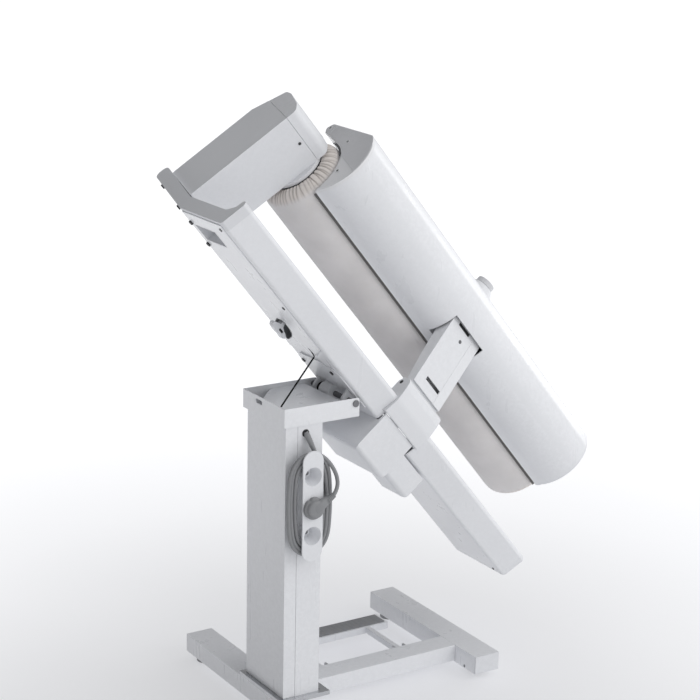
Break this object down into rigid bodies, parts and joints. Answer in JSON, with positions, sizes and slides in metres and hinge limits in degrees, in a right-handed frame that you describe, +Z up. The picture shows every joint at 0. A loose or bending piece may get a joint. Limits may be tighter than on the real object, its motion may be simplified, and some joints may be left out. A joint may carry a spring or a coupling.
{
  "type": "rotary ironing machine",
  "caption": "Household rotary ironer: padded roller, curved heated pressing shoe on an arm and a beam that tilts on a column stand with foot bars and a cord wrap.",
  "frame": {"origin": "middle of the footprint box on the floor, measured without the mains cord and its plug", "axes": "+Z up, +Y towards the user's side, +X towards the free end of the roller"},
  "size_m": [0.8762, 0.4155, 1.1457],
  "materials": {
    "sheet_white": "satin",
    "plastic_white": "satin",
    "plastic_grey": "matte",
    "plastic_dark": "matte",
    "steel": "satin",
    "steel_dark": "matte",
    "aluminium": "satin",
    "rubber_black": "matte",
    "rubber_grey": "matte",
    "cloth": "matte",
    "wire_black": "satin"
  },
  "bodies": {
    "stand": {"column_left_shell": "sheet_white", "column_right_shell": "sheet_white", "base_plate": "steel", "cross_member": "sheet_white", "left_foot_bar": "sheet_white", "right_foot_bar": "sheet_white", "foot_end_caps": "plastic_grey", "levelling_feet": "rubber_grey", "hinge_tray": "sheet_white", "tilt_pin": "steel", "balance_spring": "steel_dark", "cord_wrap": "plastic_white", "cord_gland": "plastic_grey", "cord_lead": "rubber_grey", "cord_winding": "rubber_grey", "cord_tail": "rubber_grey", "plug_body": "rubber_grey", "plug_pins": "steel", "pedal_bracket": "steel", "stay_cable": "wire_black", "stand_screws": "steel"},
    "head": {"beam": "sheet_white", "beam_drive_cap": "plastic_grey", "beam_free_cap": "plastic_white", "underside_plate": "sheet_white", "handle_cup": "plastic_grey", "latch_cup": "plastic_grey", "hinge_bracket": "steel", "gear_housing": "plastic_white", "housing_top_cover": "plastic_white", "switch_panel": "plastic_grey", "drive_motor": "steel_dark", "gearbox": "aluminium", "shaft_support": "plastic_grey", "shaft_bearing": "plastic_white", "drive_belt": "rubber_black", "arm_base_housing": "plastic_white", "terminal_box": "plastic_white", "arm_sleeve": "plastic_white", "press_motor": "steel_dark", "head_screws": "steel_dark"},
    "left_wheel": {"left_wheel": "rubber_grey"},
    "right_wheel": {"right_wheel": "rubber_grey"},
    "pedal": {"foot_pedal": "sheet_white", "pedal_tread": "rubber_grey"},
    "roller": {"roller_tube": "steel", "roller_shaft": "steel", "roller_padding": "cloth"},
    "pulley": {"motor_pulley": "aluminium"},
    "shoe": {"shoe_shell": "sheet_white", "shoe_drive_cap": "plastic_grey", "shoe_free_cap": "plastic_white", "pressing_plate": "aluminium", "heating_element": "steel", "shoe_arm": "sheet_white", "arm_cover": "plastic_white"},
    "pinion": {"press_pinion": "steel"},
    "knob": {"temperature_knob": "plastic_white"},
    "switch": {"power_switch": "plastic_dark"},
    "latch": {"latch_lever": "plastic_white"}
  },
  "joints": [
    {"name": "head_tilt", "type": "hinge", "parent": "stand", "child": "head", "pos_m": [-0.16248, -0.095, 0.607], "axis": [0, 1, 0], "range_deg": [-50.6, 39.4], "deforming": ["stay_cable"]},
    {"name": "roller_spin", "type": "hinge", "parent": "head", "child": "roller", "pos_m": [0.0168, -0.005, 0.75426], "axis": [0.6347, 0, -0.7727], "continuous": true},
    {"name": "pulley_spin", "type": "hinge", "parent": "head", "child": "pulley", "pos_m": [-0.29864, 0.04867, 0.96621], "axis": [0.6347, 0, -0.7727], "continuous": true},
    {"name": "shoe_open", "type": "hinge", "parent": "head", "child": "shoe", "pos_m": [-0.02292, -0.159, 0.58834], "axis": [0.6347, 0, -0.7727], "range_deg": [0, 9]},
    {"name": "pinion_spin", "type": "hinge", "parent": "head", "child": "pinion", "pos_m": [-0.11501, -0.14, 0.5114], "axis": [0.6347, 0, -0.7727], "range_deg": [-95, 0]},
    {"name": "knob_turn", "type": "hinge", "parent": "shoe", "child": "knob", "pos_m": [0.19072, -0.062, 0.75994], "axis": [0.7727, 0, 0.6347], "range_deg": [0, 270]},
    {"name": "switch_rock", "type": "hinge", "parent": "head", "child": "switch", "pos_m": [-0.18568, 0.03574, 1.10623], "axis": [0.6347, 0, -0.7727], "range_deg": [-5, 5]},
    {"name": "latch_turn", "type": "hinge", "parent": "head", "child": "latch", "pos_m": [-0.25592, -0.078, 0.75542], "axis": [0, 1, 0], "range_deg": [-9, 0]},
    {"name": "pedal_press", "type": "hinge", "parent": "stand", "child": "pedal", "pos_m": [-0.06048, -0.049, 0.034], "axis": [1, 0, 0], "range_deg": [-6, 0], "stiffness_Nm_per_rad": 30, "springref_deg": 10.31},
    {"name": "left_wheel_spin", "type": "hinge", "parent": "stand", "child": "left_wheel", "pos_m": [-0.28647, -0.144, 0.018], "axis": [1, 0, 0], "continuous": true},
    {"name": "right_wheel_spin", "type": "hinge", "parent": "stand", "child": "right_wheel", "pos_m": [0.14852, -0.144, 0.018], "axis": [1, 0, 0], "continuous": true}
  ],
  "couplings": [
    {"joint": "pulley_spin", "follows": "roller_spin", "ratio": 2.5385},
    {"joint": "pinion_spin", "follows": "shoe_open", "ratio": -10.012}
  ]
}
